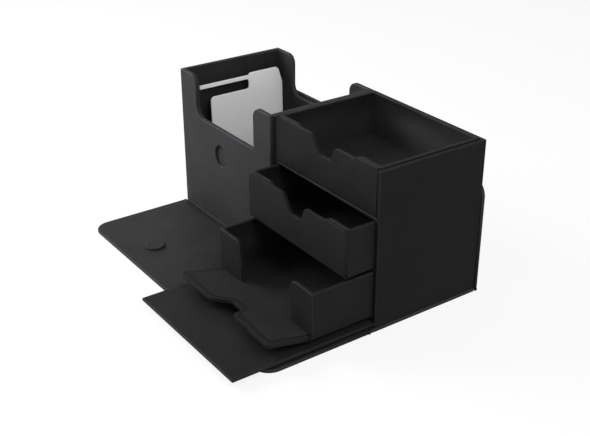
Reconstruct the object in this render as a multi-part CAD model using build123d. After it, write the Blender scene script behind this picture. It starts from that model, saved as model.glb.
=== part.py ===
from build123d import *
from math import asin, degrees
import os

# A trading card drawer box. An open deck compartment and a cabinet of three drawers
# stand side by side on the base of one folding cover. Sizes are in millimetres.
# +X runs right along the fronts, +Y runs to the back and +Z is up. The origin is the
# middle of the cover's base panel, on its underside.

# Cover
depth = 90.6                # both blocks and the base panel, front to back
side_margin = 0.7           # base panel beyond the blocks on each side
board = 2.5                 # every cover panel and drawer flap
fold_gap = 0.15             # turning panel's edge to its round fold strip
base_fold_gap = 0.25        # base panel's edges to the cover's two fold strips
front_flap_reach = 83.2     # front plane of the blocks to the flap's outer edge
rear_flap_top = 83.0        # height of the standing rear flap
cover_corner = 12.0         # outer corners of both cover flaps

# Raised catch of the front flap and the recess it closes into
catch_diameter = 15.0
catch_height = 1.8
catch_from_left = 57.0
catch_from_fold = 58.3
recess_gap = 1.0            # round the catch, inside the recess
recess_depth = 2.2
strike_thickness = 0.4

# Deck compartment
deck_width = 122.5
deck_wall = 3.6             # front and back walls
deck_end = 3.0              # end walls
deck_floor = 2.6
scoop_depth = 32.0          # finger scoop in the front and back walls
front_stub_left = 22.3      # width of the stubs left beside the scoops
front_stub_right = 21.7
back_stub_left = 24.5
back_stub_right = 24.9
scoop_lip = 7.5             # radius where a stub's top meets the scoop
scoop_heel = 9.0            # radius at the scoop's bottom, left
scoop_toe = 3.0             # and right

# Drawers
drawer_width = 107.4
drawer_height = 32.9
drawer_board = 2.5
drawer_floor = 2.0
stub_left = 25.0            # front returns beside a drawer's mouth
stub_right = 23.5
stub_corner = 5.0
flap_corner_left = 4.0
flap_corner_right = 2.0
pulled = (50.3, 23.1, 0.0)  # how far the lower, middle and top drawers stand out
lower_flap_open = 78.0      # degrees from closed

# Finger notch in a flap's top edge, measured from the flap's middle
notch_start = -16.0
notch_floor_start = -2.6
notch_floor_end = 5.0
notch_end = 13.0
shoulder_end = 29.6
level_again = 33.6
notch_depth = 11.8
shoulder_drop = 1.5

# Cabinet round the drawers
cabinet_wall = 2.8
cabinet_plinth = 4.2
cabinet_floor = 3.0
shelf = 2.0
side_gap = 0.4              # drawer side to cabinet wall
slide_gap = 0.3             # drawer to the shelf below it and above it
back_gap = 0.6
flap_gap = 0.3              # closed flap to the front returns
block_gap = 0.3             # between the two blocks
drawer_proud = 0.9          # top drawer above the blocks' top edges

# Fold-down front door of the cabinet
door_recess = 3.0           # cabinet front behind the deck's front
door_board = 2.3
door_fold_gap = 0.35        # door's round fold strip to the cabinet behind it
door_over_flap = 2.4        # door's underside above the cover's front flap
door_top_gap = 0.6          # closed door below the blocks' top edges

# Raised lining on the end wall of the deck compartment
lining_thickness = 1.0
lining_front = 58.0         # from the blocks' front plane
lining_top_gap = 1.0        # below the wall's top edge
lining_corner = 5.0
slit_front = 74.5
slit_width = 2.0
slit_depth = 22.0

# Divider standing beside that lining
divider_thickness = 1.2
divider_height = 96.0
divider_foot_out = 8.5      # foot to the lining
divider_top_out = 5.8       # top edge to the lining
divider_floor_gap = 0.2
divider_front = 19.5        # body, from the blocks' front plane
divider_side_gap = 0.5      # body to the back wall
divider_body_top = 83.3
divider_corner = 3.5
arm_low = 91.2
arm_high = 94.3
arm_end = 10.4              # from the blocks' front plane
tab_root = 54.7
tab_left = 56.2
tab_right = 82.6
tab_corner = 4.0
tab_foot_drop = 12.7        # height of the tab's sloping back edge
slot_corner = 2.0

# Worked out from the sizes above
fold_radius = board / 2
front = -depth / 2
back = depth / 2
cabinet_width = drawer_width + 2 * side_gap + 2 * cabinet_wall
cover_width = deck_width + block_gap + cabinet_width + 2 * side_margin
cover_x = (-cover_width / 2, cover_width / 2)
deck_x = (cover_x[0] + side_margin, cover_x[0] + side_margin + deck_width)
cabinet_x = (deck_x[1] + block_gap, deck_x[1] + block_gap + cabinet_width)
cabinet_inside_x = (cabinet_x[0] + cabinet_wall, cabinet_x[1] - cabinet_wall)
cabinet_y = (front + door_recess, back)
drawer_x = (cabinet_inside_x[0] + side_gap, cabinet_inside_x[1] - side_gap)
drawer_pitch = drawer_height + 2 * slide_gap + shelf
drawer_bottom = board + cabinet_plinth + cabinet_floor + slide_gap
block_top = drawer_bottom + 2 * drawer_pitch + drawer_height - drawer_proud
shut_stub_y = front + door_recess + board + flap_gap
drawer_back_y = back - cabinet_wall - back_gap
front_fold_y = front - fold_radius - base_fold_gap
rear_fold_y = back + fold_radius + base_fold_gap
cover_fold_z = board / 2
door_underside = board + door_over_flap
door_fold_y = front + door_recess - door_fold_gap - door_board / 2
door_fold_z = door_underside + door_board / 2
catch_x = cover_x[0] + catch_from_left


def slab(x, y, z):
    size = [high - low for low, high in (x, y, z)]
    return Pos(x[0], y[0], z[0]) * Box(*size, align=(Align.MIN,) * 3)


def upright(outline, y):
    near, far = y
    return extrude(Plane.XZ.offset(-far) * outline, far - near)


def round_corners(face, corners):
    for corner, radius in corners:
        nearest = face.vertices().sort_by_distance((*corner, 0))[0]
        face = fillet(nearest, radius)
    return face


def fold_strip(x, y, z, radius):
    strip = Cylinder(radius, x[1] - x[0], rotation=(0, 90, 0))
    return Pos((x[0] + x[1]) / 2, y, z) * strip


def s_curve(start, end):
    middle = (start[0] + end[0]) / 2
    return Bezier(start, (middle, start[1]), (middle, end[1]), end)


def cover_flap(width, length):
    """A cover flap lying flat, its folded edge along Y = 0 and its outer edge along -Y."""
    face = Pos(0, -length / 2) * Rectangle(width, length)
    outer = [((side * width / 2, -length), cover_corner) for side in (-1, 1)]
    return extrude(round_corners(face, outer), board)


def cover_front_flap():
    root = front_fold_y - fold_radius - fold_gap
    return Pos(0, root, 0) * cover_flap(cover_width, root - (front - front_flap_reach))


def cover_rear_flap():
    root = cover_fold_z + fold_radius + fold_gap
    lying = cover_flap(cover_width, rear_flap_top - root)
    return Pos(0, rear_fold_y - board / 2, root) * Rot(-90, 0, 0) * lying


def front_flap_catch():
    disc = Cylinder(catch_diameter / 2, catch_height, align=(Align.CENTER, Align.CENTER, Align.MIN))
    top_edge = disc.edges().sort_by(Axis.Z)[-1]
    return Pos(catch_x, front_fold_y - catch_from_fold, board) * fillet(top_edge, catch_height / 2)


def deck_wall_with_scoop(left_stub, right_stub, y):
    low, high = board, block_top
    left = deck_x[0] + left_stub
    right = deck_x[1] - right_stub
    floor = high - scoop_depth
    outline = Polyline(
        (deck_x[0], low), (deck_x[1], low), (deck_x[1], high), (right, high), (right, floor),
        (left, floor), (left, high), (deck_x[0], high), close=True)
    corners = [((right, high), scoop_lip), ((left, high), scoop_lip)]
    corners += [((right, floor), scoop_toe), ((left, floor), scoop_heel)]
    return upright(round_corners(make_face(outline), corners), y)


def deck_nodes():
    inside_y = (front + deck_wall, back - deck_wall)
    inside_x = (deck_x[0] + deck_end, deck_x[1] - deck_end)
    wall_z = (board, block_top)
    recess_at = Pos(catch_x, front + recess_depth / 2, cover_fold_z + catch_from_fold)
    recess = recess_at * Cylinder(catch_diameter / 2 + recess_gap, recess_depth, rotation=(90, 0, 0))
    strike_y = front + recess_depth - strike_thickness / 2
    strike_at = Pos(catch_x, strike_y, cover_fold_z + catch_from_fold)
    strike = Cylinder(catch_diameter / 2 + recess_gap, strike_thickness, rotation=(90, 0, 0))
    front_wall = deck_wall_with_scoop(front_stub_left, front_stub_right, (front, inside_y[0]))
    back_wall = deck_wall_with_scoop(back_stub_left, back_stub_right, (inside_y[1], back))
    return {
        "deck_front_wall": front_wall - recess,
        "deck_strike_disc": strike_at * strike,
        "deck_back_wall": back_wall,
        "deck_end_wall": slab((deck_x[0], inside_x[0]), inside_y, wall_z),
        "deck_inner_wall": slab((inside_x[1], deck_x[1]), inside_y, wall_z),
        "deck_floor": slab(inside_x, inside_y, (board, board + deck_floor)),
    }


def cabinet_nodes():
    floor_low = board + cabinet_plinth
    floor_top = floor_low + cabinet_floor
    shelf_y = (cabinet_y[0], back - cabinet_wall)
    nodes = {
        "cabinet_plinth": slab(cabinet_inside_x, cabinet_y, (board, floor_low)),
        "cabinet_floor": slab(cabinet_inside_x, cabinet_y, (floor_low, floor_top)),
        "cabinet_left_wall": slab((cabinet_x[0], cabinet_inside_x[0]), cabinet_y, (board, block_top)),
        "cabinet_right_wall": slab((cabinet_inside_x[1], cabinet_x[1]), cabinet_y, (board, block_top)),
        "cabinet_back_wall": slab(cabinet_inside_x, (shelf_y[1], back), (floor_top, block_top)),
    }
    for level, name in enumerate(("cabinet_lower_shelf", "cabinet_upper_shelf")):
        underside = drawer_bottom + level * drawer_pitch + drawer_height + slide_gap
        nodes[name] = slab(cabinet_inside_x, shelf_y, (underside, underside + shelf))
    return nodes


def door_panel():
    root = door_fold_y - door_board / 2 - fold_gap
    length = block_top - door_top_gap - door_fold_z
    outer_edge = door_fold_y - length
    return slab(cabinet_x, (outer_edge, root), (door_underside, door_underside + door_board))


def flap_outline(low, high):
    left, right = drawer_x
    middle = (left + right) / 2
    floor = high - notch_depth
    shoulder = high - shoulder_drop
    edge = Polyline((middle + notch_start, high), (left, high), (left, low), (right, low), (right, high),
                    (middle + level_again, high))
    edge += s_curve((middle + level_again, high), (middle + shoulder_end, shoulder))
    edge += Line((middle + shoulder_end, shoulder), (middle + notch_end, shoulder))
    edge += s_curve((middle + notch_end, shoulder), (middle + notch_floor_end, floor))
    edge += Line((middle + notch_floor_end, floor), (middle + notch_floor_start, floor))
    edge += s_curve((middle + notch_floor_start, floor), (middle + notch_start, high))
    corners = [((left, high), flap_corner_left), ((right, high), flap_corner_right)]
    return round_corners(make_face(edge), corners)


def stub_outline(outer_x, inner_x, low, high):
    outline = Polyline((outer_x, low), (inner_x, low), (inner_x, high), (outer_x, high), close=True)
    return round_corners(make_face(outline), [((inner_x, high), stub_corner)])


def drawer_nodes(name, level, pull, flap_open):
    """One drawer's tray, its two front returns, its fold strip and its flap."""
    low = drawer_bottom + level * drawer_pitch
    high = low + drawer_height
    floor_top = low + drawer_floor
    stub_y = shut_stub_y - pull
    rear_y = drawer_back_y - pull
    left, right = drawer_x
    inside_y = (stub_y + drawer_board, rear_y - drawer_board)
    stub_face = (stub_y, inside_y[0])
    fold_y = stub_y - flap_gap - fold_radius
    fold_z = low + fold_radius
    flap = upright(flap_outline(fold_z + fold_radius + fold_gap, high), (fold_y - board / 2, fold_y + board / 2))
    hinge = Axis((0, fold_y, fold_z), (1, 0, 0))
    wall_z = (floor_top, high)
    return {
        f"{name}_drawer_floor": slab(drawer_x, (stub_y, rear_y), (low, floor_top)),
        f"{name}_drawer_left_side": slab((left, left + drawer_board), inside_y, wall_z),
        f"{name}_drawer_right_side": slab((right - drawer_board, right), inside_y, wall_z),
        f"{name}_drawer_back": slab(drawer_x, (inside_y[1], rear_y), wall_z),
        f"{name}_drawer_left_return": upright(
            stub_outline(left, left + stub_left, floor_top, high), stub_face),
        f"{name}_drawer_right_return": upright(
            stub_outline(right, right - stub_right, floor_top, high), stub_face),
        f"{name}_drawer_fold": fold_strip(drawer_x, fold_y, fold_z, fold_radius),
        f"{name}_drawer_flap": flap.rotate(hinge, flap_open),
    }


def deck_end_lining():
    low, high = board + deck_floor, block_top - lining_top_gap
    rear = back - deck_wall
    face = make_face(Polyline(
        (front + lining_front, low), (rear, low), (rear, high), (front + lining_front, high), close=True))
    face = round_corners(face, [((front + lining_front, high), lining_corner)])
    sheet = Pos(deck_x[0] + deck_end, 0, 0) * extrude(Plane.YZ * face, lining_thickness)
    slit_y = (front + slit_front, front + slit_front + slit_width)
    slit_x = (deck_x[0] + deck_end, deck_x[0] + deck_end + lining_thickness)
    return sheet - slab(slit_x, slit_y, (high - slit_depth, high))


def deck_divider():
    near, far = front + divider_front, back - deck_wall - divider_side_gap
    root = front + tab_root
    outline = Polyline(
        (near, 0), (far, 0), (far, divider_height - tab_foot_drop), (front + tab_right, divider_height),
        (front + tab_left, divider_height), (root, arm_high), (front + arm_end, arm_high),
        (front + arm_end, arm_low), (root, arm_low), (root, divider_body_top), (near, divider_body_top),
        close=True)
    corners = [((front + tab_right, divider_height), tab_corner), ((near, divider_body_top), divider_corner),
               ((root, arm_low), slot_corner), ((root, divider_body_top), slot_corner)]
    sheet = extrude(Plane.YZ * round_corners(make_face(outline), corners), divider_thickness)
    lean = degrees(asin((divider_foot_out - divider_top_out) / divider_height))
    foot_x = deck_x[0] + deck_end + lining_thickness + divider_foot_out
    foot = Pos(foot_x, 0, board + deck_floor + divider_floor_gap)
    return foot * Rot(0, -lean, 0) * sheet


nodes = {
    "cover_base_panel": slab(cover_x, (front, back), (0, board)),
    "cover_front_fold": fold_strip(cover_x, front_fold_y, cover_fold_z, fold_radius),
    "cover_rear_fold": fold_strip(cover_x, rear_fold_y, cover_fold_z, fold_radius),
    "cover_front_flap": cover_front_flap(),
    "front_flap_catch": front_flap_catch(),
    "cover_rear_flap": cover_rear_flap(),
    "door_fold": fold_strip(cabinet_x, door_fold_y, door_fold_z, door_board / 2),
    "door_panel": door_panel(),
    "deck_end_lining": deck_end_lining(),
    "deck_divider": deck_divider(),
}
nodes |= deck_nodes()
nodes |= cabinet_nodes()
for level, name in enumerate(("lower", "middle", "top")):
    flap_open = lower_flap_open if level == 0 else 0
    nodes |= drawer_nodes(name, level, pulled[level], flap_open)

os.makedirs("parts", exist_ok=True)
for name, shape in nodes.items():
    export_step(shape, f"parts/{name}.step")
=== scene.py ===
import math

import bmesh
import bpy
from mathutils import Matrix, Vector


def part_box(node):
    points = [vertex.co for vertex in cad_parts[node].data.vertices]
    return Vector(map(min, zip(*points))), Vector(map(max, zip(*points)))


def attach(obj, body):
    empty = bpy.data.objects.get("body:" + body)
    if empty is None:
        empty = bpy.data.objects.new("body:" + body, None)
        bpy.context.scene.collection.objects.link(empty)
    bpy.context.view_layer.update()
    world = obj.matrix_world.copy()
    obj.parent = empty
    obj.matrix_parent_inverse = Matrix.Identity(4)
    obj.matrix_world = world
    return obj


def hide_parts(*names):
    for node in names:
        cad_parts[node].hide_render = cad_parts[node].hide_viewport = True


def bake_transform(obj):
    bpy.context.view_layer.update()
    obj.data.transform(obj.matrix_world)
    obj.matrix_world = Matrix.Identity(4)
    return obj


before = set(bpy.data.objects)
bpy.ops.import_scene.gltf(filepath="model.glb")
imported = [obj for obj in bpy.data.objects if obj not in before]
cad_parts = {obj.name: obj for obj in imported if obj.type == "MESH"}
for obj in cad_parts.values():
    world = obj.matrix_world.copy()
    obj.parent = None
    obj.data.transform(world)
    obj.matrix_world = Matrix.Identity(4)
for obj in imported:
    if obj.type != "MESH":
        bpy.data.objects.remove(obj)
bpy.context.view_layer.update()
print("frame loaded:", len(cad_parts), "nodes")

mm = 0.001
weld = 0.01 * mm        # points nearer than this are one


# node groups shared by the materials

def newGroup(name, inputs, outputs):
    group = bpy.data.node_groups.new(name, "ShaderNodeTree")
    for label, kind, value in inputs:
        socket = group.interface.new_socket(label, in_out="INPUT", socket_type=kind)
        socket.default_value = value
    for label, kind in outputs:
        group.interface.new_socket(label, in_out="OUTPUT", socket_type=kind)
    return group, group.nodes.new("NodeGroupInput"), group.nodes.new("NodeGroupOutput")


def softGrain():
    # fine pebbled grain of a coated microfibre, with a wider uneven tone
    group, start, end = newGroup(
        "softGrain",
        [("Grain Scale", "NodeSocketFloat", 1400.0), ("Tone Scale", "NodeSocketFloat", 22.0),
         ("Crease", "NodeSocketFloat", 0.3)],
        [("Height", "NodeSocketFloat"), ("Tone", "NodeSocketFloat"), ("Nap", "NodeSocketFloat")])
    nodes, link = group.nodes, group.links.new
    coords = nodes.new("ShaderNodeTexCoord")
    pebbles = nodes.new("ShaderNodeTexVoronoi")
    pebbles.feature = "SMOOTH_F1"
    pebbles.inputs["Smoothness"].default_value = 0.6
    fibres = nodes.new("ShaderNodeTexNoise")
    fibres.inputs["Detail"].default_value = 4.0
    creases = nodes.new("ShaderNodeTexNoise")
    creases.inputs["Scale"].default_value = 180.0
    creases.inputs["Detail"].default_value = 3.0
    creases.inputs["Distortion"].default_value = 0.6
    tone = nodes.new("ShaderNodeTexNoise")
    tone.inputs["Detail"].default_value = 5.0
    tone.inputs["Roughness"].default_value = 0.6
    for texture in (pebbles, fibres, creases, tone):
        link(coords.outputs["Object"], texture.inputs["Vector"])
    link(start.outputs["Grain Scale"], pebbles.inputs["Scale"])
    finer = nodes.new("ShaderNodeMath")
    finer.operation = "MULTIPLY"
    finer.inputs[1].default_value = 2.3
    link(start.outputs["Grain Scale"], finer.inputs[0])
    link(finer.outputs[0], fibres.inputs["Scale"])
    link(start.outputs["Tone Scale"], tone.inputs["Scale"])
    creased = nodes.new("ShaderNodeMath")
    creased.operation = "MULTIPLY_ADD"
    link(creases.outputs["Fac"], creased.inputs[0])
    link(start.outputs["Crease"], creased.inputs[1])
    link(pebbles.outputs["Distance"], creased.inputs[2])
    total = nodes.new("ShaderNodeMath")
    total.operation = "MULTIPLY_ADD"
    total.inputs[1].default_value = 0.35
    link(fibres.outputs["Fac"], total.inputs[0])
    link(creased.outputs[0], total.inputs[2])
    link(total.outputs[0], end.inputs["Height"])
    link(tone.outputs["Fac"], end.inputs["Tone"])
    link(fibres.outputs["Fac"], end.inputs["Nap"])
    return group


def edgeRubAndHighlight():
    # where the covering is lighter along its rounded edges: partly rubbed wear, partly a painted highlight
    # where the rounding catches light; broken up so that it isn't a drawn line
    group, start, end = newGroup(
        "edgeRubAndHighlight",
        [("Rub And Highlight", "NodeSocketFloat", 0.0), ("Strength", "NodeSocketFloat", 0.5)],
        [("Mask", "NodeSocketFloat")])
    nodes, link = group.nodes, group.links.new
    coords = nodes.new("ShaderNodeTexCoord")
    patches = nodes.new("ShaderNodeTexNoise")
    patches.inputs["Scale"].default_value = 70.0
    patches.inputs["Detail"].default_value = 4.0
    link(coords.outputs["Object"], patches.inputs["Vector"])
    uneven = nodes.new("ShaderNodeMapRange")
    uneven.inputs["From Min"].default_value = 0.35
    uneven.inputs["From Max"].default_value = 0.65
    uneven.inputs["To Min"].default_value = 0.45
    link(patches.outputs["Fac"], uneven.inputs["Value"])
    rubbedAndLit = nodes.new("ShaderNodeMath")
    rubbedAndLit.operation = "MULTIPLY"
    link(start.outputs["Rub And Highlight"], rubbedAndLit.inputs[0])
    link(uneven.outputs["Result"], rubbedAndLit.inputs[1])
    mask = nodes.new("ShaderNodeMath")
    mask.operation = "MULTIPLY"
    link(rubbedAndLit.outputs[0], mask.inputs[0])
    link(start.outputs["Strength"], mask.inputs[1])
    link(mask.outputs[0], end.inputs["Mask"])
    return group


grainGroup = softGrain()
rubAndHighlightGroup = edgeRubAndHighlight()

covering = dict(toneStart=0.3, toneEnd=0.72, napShare=0.35, napDark=0.6, napLight=1.25,
                roughSpread=0.07, grainDepth=0.25 * mm, sheenRoughness=0.45)


def microfibre(name, look):
    # dark soft-touch covering: tone drifts over the surface and the nap catches light
    material = bpy.data.materials.new(name)
    material.use_nodes = True
    nodes, link = material.node_tree.nodes, material.node_tree.links.new
    shader = nodes["Principled BSDF"]
    grain = nodes.new("ShaderNodeGroup")
    grain.node_tree = grainGroup
    grain.inputs["Grain Scale"].default_value = look["grain"]
    grain.inputs["Tone Scale"].default_value = look["toneScale"]
    grain.inputs["Crease"].default_value = look["crease"]
    tone = nodes.new("ShaderNodeValToRGB")
    tone.color_ramp.elements[0].position = covering["toneStart"]
    tone.color_ramp.elements[0].color = (*look["dark"], 1)
    tone.color_ramp.elements[1].position = covering["toneEnd"]
    tone.color_ramp.elements[1].color = (*look["light"], 1)
    link(grain.outputs["Tone"], tone.inputs["Fac"])
    nap = nodes.new("ShaderNodeMix")
    nap.data_type = "RGBA"
    nap.blend_type = "MULTIPLY"
    nap.inputs["Factor"].default_value = covering["napShare"]
    napTone = nodes.new("ShaderNodeMapRange")
    napTone.inputs["From Min"].default_value = 0.3
    napTone.inputs["From Max"].default_value = 0.7
    napTone.inputs["To Min"].default_value = covering["napDark"]
    napTone.inputs["To Max"].default_value = covering["napLight"]
    link(grain.outputs["Nap"], napTone.inputs["Value"])
    link(tone.outputs["Color"], nap.inputs["A"])
    link(napTone.outputs["Result"], nap.inputs["B"])
    rubAndHighlight = nodes.new("ShaderNodeAttribute")
    rubAndHighlight.attribute_name = "rubAndHighlight"
    wearAndHighlight = nodes.new("ShaderNodeGroup")
    wearAndHighlight.node_tree = rubAndHighlightGroup
    wearAndHighlight.inputs["Strength"].default_value = look["rubAndHighlight"]
    link(rubAndHighlight.outputs["Fac"], wearAndHighlight.inputs["Rub And Highlight"])
    # the edge crowns take a lighter colour: part rubbed wear, part painted highlight
    wornAndLit = nodes.new("ShaderNodeMix")
    wornAndLit.data_type = "RGBA"
    wornAndLit.inputs["B"].default_value = (*look["rubbedAndLit"], 1)
    link(wearAndHighlight.outputs["Mask"], wornAndLit.inputs["Factor"])
    link(nap.outputs["Result"], wornAndLit.inputs["A"])
    link(wornAndLit.outputs["Result"], shader.inputs["Base Color"])
    rough = nodes.new("ShaderNodeMapRange")
    rough.inputs["To Min"].default_value = look["rough"] - covering["roughSpread"]
    rough.inputs["To Max"].default_value = look["rough"] + covering["roughSpread"]
    link(grain.outputs["Tone"], rough.inputs["Value"])
    link(rough.outputs["Result"], shader.inputs["Roughness"])
    bump = nodes.new("ShaderNodeBump")
    bump.inputs["Strength"].default_value = look["bump"]
    bump.inputs["Distance"].default_value = covering["grainDepth"]
    link(grain.outputs["Height"], bump.inputs["Height"])
    link(bump.outputs["Normal"], shader.inputs["Normal"])
    shader.inputs["Specular IOR Level"].default_value = look["specular"]
    shader.inputs["Sheen Weight"].default_value = look["sheen"]
    shader.inputs["Sheen Roughness"].default_value = covering["sheenRoughness"]
    return material


# rubbed: the lighter colour of the rounded edges, part rubbed wear and part painted highlight
coverLook = dict(dark=(0.0178, 0.0168, 0.0177), light=(0.0253, 0.0239, 0.0252),
                 rubbedAndLit=(0.075, 0.072, 0.075), rubAndHighlight=0.45, grain=1300.0, toneScale=30.0,
                 crease=0.35, rough=0.62, bump=0.6, specular=0.05, sheen=0.01)
# a lighter copy of the covering for the deck block: painted light, where the key lamp from the left falls
# strongest
litBlockLook = dict(dark=(0.0245, 0.0230, 0.0247), light=(0.0345, 0.0324, 0.0347),
                 rubbedAndLit=(0.085, 0.081, 0.085), rubAndHighlight=0.4, grain=1500.0, toneScale=32.0,
                 crease=0.25, rough=0.64, bump=0.55, specular=0.05, sheen=0.01)
doorLook = dict(dark=(0.0102, 0.0095, 0.0099), light=(0.0156, 0.0145, 0.0151),
                rubbedAndLit=(0.055, 0.052, 0.054), rubAndHighlight=0.4, grain=1300.0, toneScale=32.0,
                crease=0.35, rough=0.60, bump=0.6, specular=0.05, sheen=0.01)
# a darker copy of the drawers' covering for the cabinet block: painted shade, as its seen faces turn right,
# away from the key lamp
shadedCabinetLook = dict(dark=(0.0070, 0.0068, 0.0070), light=(0.0106, 0.0101, 0.0104),
                   rubbedAndLit=(0.045, 0.043, 0.044), rubAndHighlight=0.4, grain=1500.0, toneScale=30.0,
                   crease=0.3, rough=0.60, bump=0.55, specular=0.05, sheen=0.01)
drawerLook = dict(dark=(0.0089, 0.0083, 0.0087), light=(0.0140, 0.0131, 0.0136),
                  rubbedAndLit=(0.050, 0.047, 0.049), rubAndHighlight=0.4, grain=1500.0, toneScale=34.0,
                  crease=0.3, rough=0.60, bump=0.55, specular=0.05, sheen=0.01)
insideLook = dict(dark=(0.0206, 0.0194, 0.0201), light=(0.0295, 0.0277, 0.0289),
                  rubbedAndLit=(0.04, 0.038, 0.04), rubAndHighlight=0.4, grain=1900.0, toneScale=36.0,
                  crease=0.15, rough=0.74, bump=0.6, specular=0.05, sheen=0.02)
liningLook = dict(dark=(0.0112, 0.0104, 0.0108), light=(0.0166, 0.0155, 0.0161),
                  rubbedAndLit=(0.030, 0.028, 0.029), rubAndHighlight=0.4, grain=1900.0, toneScale=36.0,
                  crease=0.15, rough=0.76, bump=0.7, specular=0.05, sheen=0.02)


def frostedSheet(name, look):
    material = bpy.data.materials.new(name)
    material.use_nodes = True
    nodes, link = material.node_tree.nodes, material.node_tree.links.new
    shader = nodes["Principled BSDF"]
    coords = nodes.new("ShaderNodeTexCoord")
    haze = nodes.new("ShaderNodeTexNoise")
    haze.inputs["Scale"].default_value = look["hazeScale"]
    haze.inputs["Detail"].default_value = 4.0
    frost = nodes.new("ShaderNodeTexNoise")
    frost.inputs["Scale"].default_value = look["frostScale"]
    link(coords.outputs["Object"], haze.inputs["Vector"])
    link(coords.outputs["Object"], frost.inputs["Vector"])
    tone = nodes.new("ShaderNodeValToRGB")
    tone.color_ramp.elements[0].position = 0.35
    tone.color_ramp.elements[0].color = (*look["dark"], 1)
    tone.color_ramp.elements[1].position = 0.7
    tone.color_ramp.elements[1].color = (*look["light"], 1)
    link(haze.outputs["Fac"], tone.inputs["Fac"])
    link(tone.outputs["Color"], shader.inputs["Base Color"])
    rough = nodes.new("ShaderNodeMapRange")
    rough.inputs["To Min"].default_value = 0.38
    rough.inputs["To Max"].default_value = 0.5
    link(frost.outputs["Fac"], rough.inputs["Value"])
    link(rough.outputs["Result"], shader.inputs["Roughness"])
    bump = nodes.new("ShaderNodeBump")
    bump.inputs["Strength"].default_value = 0.15
    bump.inputs["Distance"].default_value = 0.0001
    link(frost.outputs["Fac"], bump.inputs["Height"])
    link(bump.outputs["Normal"], shader.inputs["Normal"])
    shader.inputs["Subsurface Weight"].default_value = 0.15
    shader.inputs["Subsurface Radius"].default_value = (0.002, 0.002, 0.002)
    return material


sheetLook = dict(dark=(0.86, 0.85, 0.86), light=(0.90, 0.89, 0.90), hazeScale=25.0, frostScale=1800.0)

coverFinish = microfibre("coverFinish", coverLook)
litBlockFinish = microfibre("litBlockFinish", litBlockLook)
doorFinish = microfibre("doorFinish", doorLook)
shadedCabinetFinish = microfibre("shadedCabinetFinish", shadedCabinetLook)
drawerFinish = microfibre("drawerFinish", drawerLook)
insideFinish = microfibre("insideFinish", insideLook)
liningFinish = microfibre("liningFinish", liningLook)
sheetFinish = frostedSheet("sheetFinish", sheetLook)
print("materials made")


# shaping tools

def cleanCopy(node):
    # one node's own triangles, merged and with its flat faces whole again
    bm = bmesh.new()
    bm.from_mesh(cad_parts[node].data)
    bmesh.ops.remove_doubles(bm, verts=bm.verts, dist=weld)
    wholeFaces(bm)
    return bm


def wholeFaces(bm):
    bmesh.ops.dissolve_limit(bm, angle_limit=math.radians(0.5), verts=bm.verts, edges=bm.edges,
                             use_dissolve_boundaries=False, delimit=set())


def joinedCopy(*nodes):
    # boards that are glued to each other become one skin
    parts = []
    for node in nodes:
        mesh = bpy.data.meshes.new(node + "Copy")
        bm = cleanCopy(node)
        bm.to_mesh(mesh)
        bm.free()
        part = bpy.data.objects.new(mesh.name, mesh)
        bpy.context.scene.collection.objects.link(part)
        parts.append(part)
    for part in parts[1:]:
        union = parts[0].modifiers.new("union", "BOOLEAN")
        union.operation = "UNION"
        union.solver = "EXACT"
        union.object = part
    depsgraph = bpy.context.evaluated_depsgraph_get()
    bm = bmesh.new()
    bm.from_object(parts[0], depsgraph)
    for part in parts:
        mesh = part.data
        bpy.data.objects.remove(part)
        bpy.data.meshes.remove(mesh)
    bmesh.ops.remove_doubles(bm, verts=bm.verts, dist=weld)
    wholeFaces(bm)
    return bm


def outerEdges(bm, keep=None):
    steep = math.radians(30)
    return [edge for edge in bm.edges
            if edge.is_manifold and edge.calc_face_angle_signed(0) > steep and (keep is None or keep(edge))]


def roundEdges(bm, width, segments=4, keep=None):
    # rounds the outer edges and marks the crown of each for the lighter edge colour, part rubbed wear and
    # part painted highlight
    made = bmesh.ops.bevel(bm, geom=outerEdges(bm, keep), offset=width, offset_type="OFFSET",
                           segments=segments, profile=0.5, affect="EDGES", material=-1,
                           clamp_overlap=True)
    rubAndHighlight = bm.verts.layers.float.get("rubAndHighlight") or bm.verts.layers.float.new("rubAndHighlight")
    rounded = set(made["faces"])
    for vert in {vert for face in rounded for vert in face.verts}:
        if all(face in rounded for face in vert.link_faces):
            vert[rubAndHighlight] = 1.0


def sheetFrom(corners, thickness):
    # a flat sheet from (x, y, corner radius) points, its underside at z = 0
    bm = bmesh.new()
    verts = [bm.verts.new((x, y, 0)) for x, y, radius in corners]
    bm.faces.new(verts)
    for vert, (x, y, radius) in zip(verts, corners):
        if radius:
            one, other = [(edge.other_vert(vert).co - vert.co).normalized() for edge in vert.link_edges]
            halfTurn = (math.pi - one.angle(other)) / 2
            bmesh.ops.bevel(bm, geom=[vert], offset=radius * math.tan(halfTurn), offset_type="OFFSET",
                            segments=5, profile=0.5, affect="VERTICES", material=-1)
    grown = bmesh.ops.extrude_face_region(bm, geom=bm.faces[:])
    bmesh.ops.translate(bm, vec=(0, 0, thickness),
                        verts=[item for item in grown["geom"] if isinstance(item, bmesh.types.BMVert)])
    bmesh.ops.recalc_face_normals(bm, faces=bm.faces)
    return bm


def insetCorners(points, margin):
    # a closed outline drawn again inside itself, its corners going anticlockwise
    inner = []
    for index, point in enumerate(points):
        before = (point - points[index - 1]).normalized()
        after = (points[(index + 1) % len(points)] - point).normalized()
        inward = Vector((-before.y - after.y, before.x + after.x))
        inner.append(point + inward * margin / (1 + before.dot(after)))
    return inner


turnedEdge = dict(margin=0.3 * mm, onAxis=0.05 * mm, liningStep=0.35 * mm)


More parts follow.
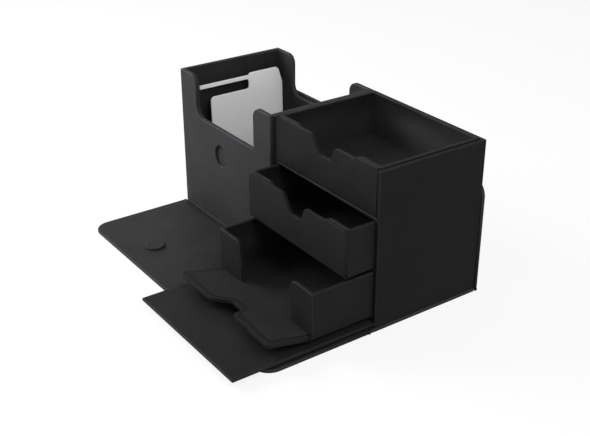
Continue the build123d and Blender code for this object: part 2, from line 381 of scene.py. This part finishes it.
def reachFold(bm, foldNode, outward):
    # carries a turning panel's folded edge in to the fold's own axis, so the covering has no gap there
    low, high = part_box(foldNode)
    centre = (low + high) / 2
    outward = Vector(outward).normalized()
    reach = (high.z - low.z) / 2 + turnedEdge["margin"]
    for vert in bm.verts:
        along = (vert.co - centre).dot(outward)
        if along < reach:
            vert.co -= along * outward

    def offAxis(edge):
        return any(abs((vert.co - centre).dot(outward)) >= turnedEdge["onAxis"] for vert in edge.verts)

    return offAxis


def raiseLining(bm, facing, inset, rise):
    # the lining is glued on after the covering is turned in, so it stands a little proud
    facing = Vector(facing).normalized()
    face = max((f for f in bm.faces if f.normal.dot(facing) > 0.99), key=lambda f: f.calc_area())
    bmesh.ops.inset_region(bm, faces=[face], thickness=inset, depth=0, use_even_offset=True)
    bmesh.ops.inset_region(bm, faces=[face], thickness=turnedEdge["liningStep"], depth=rise,
                           use_even_offset=True)


def finishPiece(name, bm, body, nodes, material):
    # a piece given no body crosses a hinge and is left unattached
    bmesh.ops.recalc_face_normals(bm, faces=bm.faces)
    for face in bm.faces:
        face.smooth = True
    mesh = bpy.data.meshes.new(name)
    bm.to_mesh(mesh)
    bm.free()
    mesh.materials.append(material)
    piece = bpy.data.objects.new(name, mesh)
    bpy.context.scene.collection.objects.link(piece)
    weighted = piece.modifiers.new("evenShading", "WEIGHTED_NORMAL")
    weighted.keep_sharp = True
    weighted.weight = 90
    if body:
        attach(piece, body)
    if nodes:
        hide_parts(*nodes)
    return piece


# deck compartment

deckShape = dict(edge=0.9 * mm, recessEdge=0.45 * mm, liningEdge=0.45 * mm, sheetEdge=0.3 * mm,
                 recessMargin=0.5 * mm, recessReach=2.0 * mm, slack=0.1 * mm)


def makeDeck():
    nodes = ["deck_front_wall", "deck_end_wall", "deck_back_wall", "deck_inner_wall"]
    bm = joinedCopy(*nodes)
    low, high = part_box("deck_strike_disc")
    centre = (low + high) / 2
    radius = (high.x - low.x) / 2 + deckShape["recessMargin"]

    def inRecess(edge):
        middle = (edge.verts[0].co + edge.verts[1].co) / 2
        shallow = middle.y < centre.y + deckShape["recessReach"]
        return shallow and math.hypot(middle.x - centre.x, middle.z - centre.z) < radius

    roundEdges(bm, deckShape["edge"], 4, keep=lambda edge: not inRecess(edge))
    roundEdges(bm, deckShape["recessEdge"], 3, keep=inRecess)
    floorLow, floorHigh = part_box("deck_floor")
    slack = deckShape["slack"]
    for face in bm.faces:
        middle = face.calc_center_median()
        if all(floorLow[axis] - slack < middle[axis] < floorHigh[axis] + slack for axis in (0, 1)):
            face.material_index = 1
    block = finishPiece("deckBlock", bm, "box", nodes, litBlockFinish)
    block.data.materials.append(insideFinish)
    lining = cleanCopy("deck_end_lining")
    roundEdges(lining, deckShape["liningEdge"], 2)
    finishPiece("deckEndLining", lining, "box", ["deck_end_lining"], coverFinish)
    sheet = cleanCopy("deck_divider")
    roundEdges(sheet, deckShape["sheetEdge"], 2)
    finishPiece("deckDivider", sheet, "divider", ["deck_divider"], sheetFinish)


makeDeck()
print("deck compartment made")


# drawer cabinet

cabinetShape = dict(edge=0.8 * mm, doorEdge=0.8 * mm, doorInset=3.5 * mm, doorRise=0.2 * mm)


def makeCabinet():
    nodes = ["cabinet_left_wall", "cabinet_plinth", "cabinet_floor", "cabinet_lower_shelf",
             "cabinet_upper_shelf", "cabinet_back_wall", "cabinet_right_wall"]
    bm = joinedCopy(*nodes)
    roundEdges(bm, cabinetShape["edge"], 3)
    finishPiece("cabinetBlock", bm, "box", nodes, shadedCabinetFinish)
    door = cleanCopy("door_panel")
    roundEdges(door, cabinetShape["doorEdge"], 4, keep=reachFold(door, "door_fold", (0, -1, 0)))
    raiseLining(door, (0, 0, 1), cabinetShape["doorInset"], cabinetShape["doorRise"])
    finishPiece("doorPanel", door, "door", ["door_panel"], doorFinish)


makeCabinet()
print("cabinet made")


# drawers

drawerShape = dict(edge=0.75 * mm, flapEdge=1.1 * mm, margin=4.0 * mm, lining=0.2 * mm, lift=0.05 * mm,
                   foldReach=1.45 * mm, lowerFlapOpen=78.0, liningCorner=1.2 * mm)
# finger notch from the flap's middle and below its top edge, as (along, down), right to left
notch = [(33.6, 0.0), (29.6, 1.5), (11.6, 1.5), (6.4, 11.8), (-3.6, 11.8), (-12.4, 0.0)]
notchRounding = [2.0, 2.0, 1.0, 3.0, 7.0, 5.0]


def flapLiningCorners(left, right, foldY, reach, stubFront):
    # the lining's part on an open flap lying flat, the flap's outer edge towards -Y
    middle = (left + right) / 2
    top = foldY - reach
    outline = [Vector((left, stubFront)), Vector((left, top))]
    outline += [Vector((middle + along * mm, top + down * mm)) for along, down in reversed(notch)]
    outline += [Vector((right, top)), Vector((right, stubFront))]
    inner = insetCorners(outline, drawerShape["margin"])
    rounding = [0, drawerShape["liningCorner"]] + [mm * r for r in reversed(notchRounding)]
    rounding += [drawerShape["liningCorner"], 0]
    corners = [(point.x, point.y, radius) for point, radius in zip(inner, rounding)]
    corners[0] = (corners[0][0], stubFront, 0)
    corners[-1] = (corners[-1][0], stubFront, 0)
    return corners


def makeDrawerLining(level, opened):
    # one sheet over the tray's floor, the fold and the flap's inner face
    def box(part):
        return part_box(f"{level}_drawer_{part}")

    gap = 0.1 * mm
    foldLow, foldHigh = box("fold")
    fold = (foldLow + foldHigh) / 2
    radius = (foldHigh.z - foldLow.z) / 2
    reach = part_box("top_drawer_flap")[1].z - (sum(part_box("top_drawer_fold"), Vector()) / 2).z
    stubFront, stubBack = box("left_return")[0].y - gap / 2, box("left_return")[1].y + gap
    inLeft, inRight, rear = box("left_side")[1].x + gap, box("right_side")[0].x - gap, box("back")[0].y - gap
    mouthLeft, mouthRight = box("left_return")[1].x + gap, box("right_return")[0].x - gap
    corners = [(inRight, rear, 0), (inLeft, rear, 0), (inLeft, stubBack, 0), (mouthLeft, stubBack, 0),
               (mouthLeft, stubFront, 0)]
    corners += flapLiningCorners(foldLow.x, foldHigh.x, fold.y, reach, stubFront)
    corners += [(mouthRight, stubFront, 0), (mouthRight, stubBack, 0), (inRight, stubBack, 0)]
    bm = sheetFrom(corners, drawerShape["lining"])
    bend = drawerShape["foldReach"]
    cuts = [stubBack, stubFront] + [fold.y + bend * share for share in (1, 0.5, 0, -0.5, -1)]
    for cut in cuts:
        bmesh.ops.bisect_plane(bm, geom=bm.verts[:] + bm.edges[:] + bm.faces[:], dist=0.001 * mm,
                               plane_co=(0, cut, 0), plane_no=(0, 1, 0))
    floorTop = box("floor")[1].z + drawerShape["lift"]
    foldTop = fold.z + radius + drawerShape["lift"]
    for vert in bm.verts:
        vert.co.z += floorTop if vert.co.y > stubBack - gap / 2 else foldTop
    closing = math.radians(90.0 - opened)
    for vert in bm.verts:
        share = min(1, max(0, (fold.y + bend - vert.co.y) / (2 * bend)))
        bmesh.ops.rotate(bm, cent=fold, matrix=Matrix.Rotation(-closing * share, 3, "X"), verts=[vert])
    piece = finishPiece(f"{level}DrawerLining", bm, None, [], liningFinish)
    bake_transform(piece)


def makeDrawer(level):
    parts = ["floor", "left_side", "back", "right_side", "left_return", "right_return"]
    nodes = [f"{level}_drawer_{part}" for part in parts]
    tray = joinedCopy(*nodes)
    roundEdges(tray, drawerShape["edge"], 3)
    finishPiece(f"{level}DrawerTray", tray, f"{level}_drawer", nodes, drawerFinish)
    opened = drawerShape["lowerFlapOpen"] if level == "lower" else 0.0
    outward = Matrix.Rotation(math.radians(opened), 3, "X") @ Vector((0, 0, 1))
    flap = cleanCopy(f"{level}_drawer_flap")
    roundEdges(flap, drawerShape["flapEdge"], 4, keep=reachFold(flap, f"{level}_drawer_fold", outward))
    finishPiece(f"{level}DrawerFlap", flap, f"{level}_flap", [f"{level}_drawer_flap"], drawerFinish)
    makeDrawerLining(level, opened)


for level in ("lower", "middle", "top"):
    makeDrawer(level)
print("drawers made")


# cover

coverShape = dict(edge=0.85 * mm, inset=4.0 * mm, rise=0.22 * mm)


def makeCover():
    base = cleanCopy("cover_base_panel")
    roundEdges(base, coverShape["edge"], 3)
    finishPiece("coverBase", base, "box", ["cover_base_panel"], coverFinish)
    for name, body, node, fold, outward, facing in (
            ("coverFrontFlap", "front_flap", "cover_front_flap", "cover_front_fold", (0, -1, 0), (0, 0, 1)),
            ("coverRearFlap", "rear_flap", "cover_rear_flap", "cover_rear_fold", (0, 0, 1), (0, -1, 0))):
        flap = cleanCopy(node)
        roundEdges(flap, coverShape["edge"], 4, keep=reachFold(flap, fold, outward))
        raiseLining(flap, facing, coverShape["inset"], coverShape["rise"])
        finishPiece(name, flap, body, [node], coverFinish)


makeCover()
print("cover made")


# carried-over nodes

plainNodes = dict(deck_floor=insideFinish, deck_strike_disc=litBlockFinish, front_flap_catch=coverFinish,
                  cover_front_fold=coverFinish, cover_rear_fold=coverFinish, door_fold=doorFinish,
                  lower_drawer_fold=drawerFinish, middle_drawer_fold=drawerFinish,
                  top_drawer_fold=drawerFinish)
for node, finish in plainNodes.items():
    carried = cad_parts[node].data
    carried.materials.clear()
    carried.materials.append(finish)
print("carried-over nodes finished")


# floor, light and camera

studio = dict(floorSize=6.0, floorTone=(0.86, 0.86, 0.86), floorGlow=0.85, ambient=0.42,
              keyPlace=(-0.60, -0.45, 0.45), keySize=0.5, keyPower=9.0,
              topPlace=(0.75, -0.05, 0.85), topSize=0.7, topPower=6.0, aim=(0, 0, 0.05))


def cameraRaysWhite(tree, ordinary, output, share):
    # the backdrop looks white to the camera and in reflections, and lights the object plainly
    nodes, link = tree.nodes, tree.links.new
    path = nodes.new("ShaderNodeLightPath")
    seen = path.outputs["Is Camera Ray"]
    for ray in ("Is Glossy Ray", "Is Transmission Ray"):
        either = nodes.new("ShaderNodeMath")
        either.operation = "MAXIMUM"
        link(seen, either.inputs[0])
        link(path.outputs[ray], either.inputs[1])
        seen = either.outputs[0]
    part = nodes.new("ShaderNodeMath")
    part.operation = "MULTIPLY"
    part.inputs[1].default_value = share
    link(seen, part.inputs[0])
    mix = nodes.new("ShaderNodeMixShader")
    white = nodes.new("ShaderNodeBackground" if output.type == "OUTPUT_WORLD" else "ShaderNodeEmission")
    white.inputs["Color"].default_value = (1, 1, 1, 1)
    white.inputs["Strength"].default_value = 1.0
    link(part.outputs[0], mix.inputs["Fac"])
    link(ordinary, mix.inputs[1])
    link(white.outputs[0], mix.inputs[2])
    link(mix.outputs[0], output.inputs["Surface"])


def makeFloor():
    bm = bmesh.new()
    bmesh.ops.create_grid(bm, x_segments=1, y_segments=1, size=studio["floorSize"])
    mesh = bpy.data.meshes.new("floor")
    bm.to_mesh(mesh)
    bm.free()
    floor = bpy.data.objects.new("floor", mesh)
    bpy.context.scene.collection.objects.link(floor)
    finish = bpy.data.materials.new("floorFinish")
    finish.use_nodes = True
    shader = finish.node_tree.nodes["Principled BSDF"]
    shader.inputs["Base Color"].default_value = (*studio["floorTone"], 1)
    shader.inputs["Roughness"].default_value = 0.9
    shader.inputs["Specular IOR Level"].default_value = 0.1
    output = finish.node_tree.nodes["Material Output"]
    cameraRaysWhite(finish.node_tree, shader.outputs["BSDF"], output, studio["floorGlow"])
    mesh.materials.append(finish)


def makeWorld():
    world = bpy.data.worlds.new("studio")
    world.use_nodes = True
    bpy.context.scene.world = world
    ambient = world.node_tree.nodes["Background"]
    ambient.inputs["Color"].default_value = (1, 1, 1, 1)
    ambient.inputs["Strength"].default_value = studio["ambient"]
    cameraRaysWhite(world.node_tree, ambient.outputs[0], world.node_tree.nodes["World Output"], 1.0)


def areaLight(name, place, size, power):
    lamp = bpy.data.lights.new(name, "AREA")
    lamp.shape = "DISK"
    lamp.size = size
    lamp.energy = power
    light = bpy.data.objects.new(name, lamp)
    light.location = place
    light.rotation_euler = (Vector(studio["aim"]) - Vector(place)).to_track_quat("-Z", "Y").to_euler()
    bpy.context.scene.collection.objects.link(light)


cameraView = dict(place=(0.53882, -0.40012, 0.36345), direction=(-0.72595, 0.51509, -0.45572),
                  lens=61.99, sensor=36.0, shiftX=-0.0073, shiftY=0.0016)


def makeCamera():
    lens = bpy.data.cameras.new("camera")
    lens.lens = cameraView["lens"]
    lens.sensor_width = cameraView["sensor"]
    lens.sensor_fit = "HORIZONTAL"
    lens.shift_x = cameraView["shiftX"]
    lens.shift_y = cameraView["shiftY"]
    camera = bpy.data.objects.new("camera", lens)
    camera.location = cameraView["place"]
    camera.rotation_euler = Vector(cameraView["direction"]).to_track_quat("-Z", "Y").to_euler()
    bpy.context.scene.collection.objects.link(camera)
    bpy.context.scene.camera = camera


makeFloor()
makeWorld()
areaLight("keyLight", studio["keyPlace"], studio["keySize"], studio["keyPower"])
areaLight("topLight", studio["topPlace"], studio["topSize"], studio["topPower"])
makeCamera()
bpy.context.scene.view_settings.view_transform = "Standard"
print("studio made")
